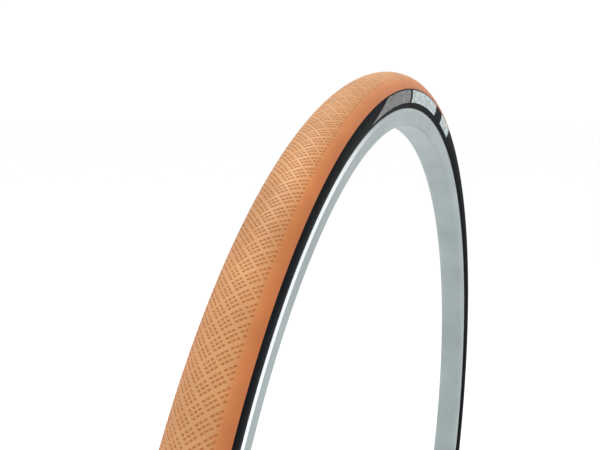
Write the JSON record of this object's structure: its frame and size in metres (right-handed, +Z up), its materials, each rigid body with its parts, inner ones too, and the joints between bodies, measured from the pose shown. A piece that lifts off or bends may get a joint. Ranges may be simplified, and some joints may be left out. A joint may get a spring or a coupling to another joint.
{
  "type": "bicycle tyre on a rim",
  "caption": "Road bicycle tyre with a tan dimpled tread and black sidewalls, fitted on a shallow silver hollow rim with inner tube, valve, ring nut and dust cap.",
  "frame": {"origin": "wheel centre, on the axle line and midway between the two sides", "axes": "+Y along the axle line towards the back side, -Y towards the front side that carries the visible label, +Z up, +X to the right of the front side; the valve is at the bottom and points along +Z"},
  "size_m": [0.686, 0.0322, 0.6858],
  "materials": {
    "tread_rubber": "matt tan rubber",
    "side_rubber": "satin black rubber over fine threads",
    "casing_fabric": "rubber-coated nylon threads",
    "strip_fabric": "woven puncture strip",
    "bead_cable": "brass-coated wire",
    "chafer_fabric": "rubbered weave",
    "label": "thin grey transfer",
    "butyl": "smooth butyl with talc",
    "rim_metal": "satin silver with a bright machined edge",
    "tape": "nylon rim tape",
    "nickel_brass": "nickel plate",
    "brass": "turned brass",
    "cap_plastic": "moulded black plastic"
  },
  "bodies": {
    "wheel": {"tread": "tread_rubber", "puncture_strip": "strip_fabric", "sidewall_front": "side_rubber", "sidewall_back": "side_rubber", "ply_outer": "casing_fabric", "ply_inner": "casing_fabric", "bead_cable_front": "bead_cable", "bead_cable_back": "bead_cable", "chafer_front": "chafer_fabric", "chafer_back": "chafer_fabric", "label_front": "label", "label_back": "label", "inner_tube": "butyl", "valve_patch": "butyl", "rim": "rim_metal", "rim_sleeve": "rim_metal", "rim_tape": "tape", "valve_stem": "nickel_brass", "valve_core": "brass"},
    "valve_plunger": {"valve_pin": "brass", "valve_seal": "butyl"},
    "lock_nut": {"lock_nut": "brass"},
    "ring_nut": {"ring_nut": "nickel_brass"},
    "dust_cap": {"dust_cap": "cap_plastic"}
  },
  "joints": [
    {"name": "valve_press", "type": "slide", "parent": "wheel", "child": "valve_plunger", "axis": [0, 0, -1], "range_m": [0, 0.001], "stiffness_N_per_m": 400},
    {"name": "lock_nut_travel", "type": "slide", "parent": "valve_plunger", "child": "lock_nut", "axis": [0, 0, 1], "range_m": [0, 0.0015]},
    {"name": "ring_nut_travel", "type": "slide", "parent": "wheel", "child": "ring_nut", "axis": [0, 0, 1], "range_m": [0, 0.012]},
    {"name": "dust_cap_off", "type": "slide", "parent": "wheel", "child": "dust_cap", "axis": [0, 0, 1], "range_m": [0, 0.04]}
  ]
}
